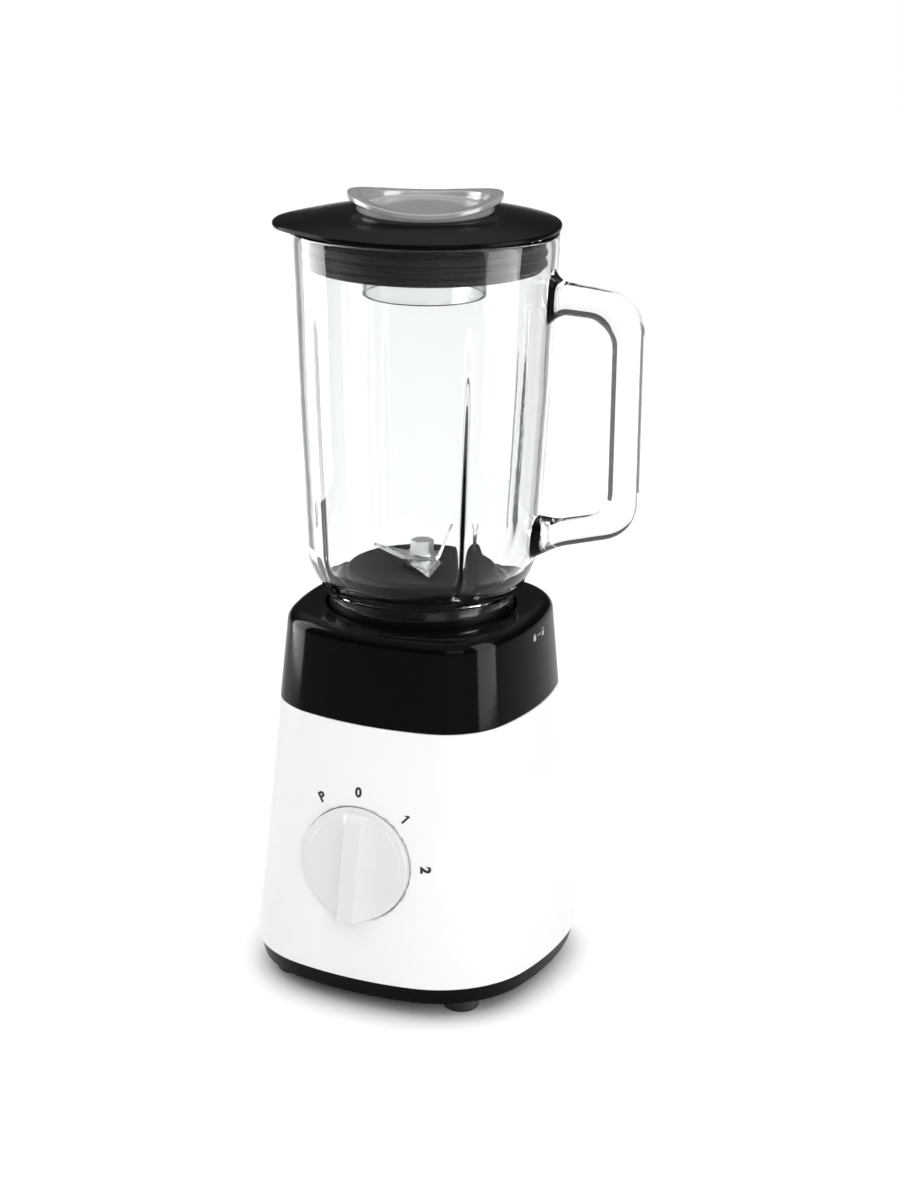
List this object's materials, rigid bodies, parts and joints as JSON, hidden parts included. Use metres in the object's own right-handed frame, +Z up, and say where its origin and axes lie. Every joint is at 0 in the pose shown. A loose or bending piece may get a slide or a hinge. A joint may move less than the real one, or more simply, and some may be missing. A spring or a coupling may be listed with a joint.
{
  "type": "countertop blender",
  "caption": "Countertop blender with a tapered motor base, a front dial, a ribbed glass jug with a loop handle, steel blades, a black lid and a smoky measuring cap.",
  "frame": {"origin": "on the floor under the feet, on the base's and the motor's vertical axis", "axes": "+Z up along the motor's axis; -Y is the front, with the dial; the jug's handle points towards +X, turned 8 degrees towards +Y"},
  "size_m": [0.184, 0.1622, 0.3921],
  "materials": {
    "black_gloss": "glossy",
    "black_satin": "satin",
    "white_gloss": "glossy",
    "clear_glass": "polished",
    "smoky_plastic": "glossy",
    "rubber": "matt",
    "blade_steel": "polished",
    "machined_steel": "machined",
    "laminated_steel": "stacked sheets",
    "copper_wire": "enamelled",
    "bronze": "satin",
    "carbon": "matt",
    "cast_aluminium": "cast",
    "moulded_plastic": "matt"
  },
  "bodies": {
    "base": {"upper_shell": "black_gloss", "body_shell": "white_gloss", "bottom_plate": "black_satin", "foot_front_left": "rubber", "foot_front_right": "rubber", "foot_back_left": "rubber", "foot_back_right": "rubber", "bottom_screws": "machined_steel", "cord_inlet": "black_satin", "rotary_switch": "moulded_plastic", "lower_bearing": "machined_steel", "upper_bearing": "machined_steel", "lower_bracket": "cast_aluminium", "upper_bracket": "cast_aluminium", "stator_core": "laminated_steel", "field_coil_front": "copper_wire", "field_coil_back": "copper_wire", "brush_holder_left": "bronze", "brush_holder_right": "bronze", "carbon_brush_left": "carbon", "carbon_brush_right": "carbon", "motor_mounts": "rubber", "motor_screws": "machined_steel", "shaft_seal": "rubber", "interlock_switch": "moulded_plastic"},
    "control_knob": {"knob": "white_gloss", "knob_shaft": "machined_steel"},
    "armature": {"motor_shaft": "machined_steel", "armature_core": "laminated_steel", "armature_windings": "copper_wire", "commutator": "bronze", "cooling_fan": "moulded_plastic", "drive_coupling": "black_satin"},
    "locking_ring": {"lock_ring": "black_satin"},
    "plunger": {"interlock_plunger": "moulded_plastic"},
    "jug": {"glass_jug": "clear_glass", "jug_collar": "black_gloss", "jug_gasket": "rubber", "blade_holder": "black_satin", "blade_bush": "bronze", "spindle_seal": "rubber"},
    "blades": {"blade_spindle": "blade_steel", "thrust_washer": "blade_steel", "lower_blades": "blade_steel", "upper_blades": "blade_steel", "blade_washer": "blade_steel", "blade_nut": "blade_steel", "driven_coupling": "black_satin"},
    "lid_set": {"lid": "black_gloss", "lid_seal": "rubber"},
    "cap": {"measuring_cap": "smoky_plastic"}
  },
  "joints": [
    {"name": "knob_turn", "type": "hinge", "parent": "base", "child": "control_knob", "pos_m": [0, -0.07084, 0.076], "axis": [0, -0.9954, 0.0958], "range_deg": [-83, 34]},
    {"name": "motor_spin", "type": "hinge", "parent": "base", "child": "armature", "pos_m": [0, 0, 0.1], "axis": [0, 0, 1], "continuous": true},
    {"name": "jug_twist", "type": "hinge", "parent": "base", "child": "locking_ring", "pos_m": [0, 0, 0.1755], "axis": [0, 0, 1], "range_deg": [-20, 0]},
    {"name": "plunger_slide", "type": "slide", "parent": "base", "child": "plunger", "axis": [0, 0, 1], "range_m": [0, 0.0021]},
    {"name": "jug_lift", "type": "slide", "parent": "locking_ring", "child": "jug", "axis": [0, 0, 1], "range_m": [0, 0.08]},
    {"name": "blade_spin", "type": "hinge", "parent": "jug", "child": "blades", "pos_m": [0, 0, 0.2], "axis": [0, 0, 1], "continuous": true},
    {"name": "lid_lift", "type": "slide", "parent": "jug", "child": "lid_set", "axis": [0, 0, 1], "range_m": [0, 0.06]},
    {"name": "cap_lift", "type": "slide", "parent": "lid_set", "child": "cap", "axis": [0, 0, 1], "range_m": [0, 0.055]}
  ],
  "couplings": [
    {"joint": "blade_spin", "follows": "motor_spin", "ratio": 1},
    {"joint": "plunger_slide", "follows": "jug_twist", "m_per_rad": -0.00573}
  ]
}
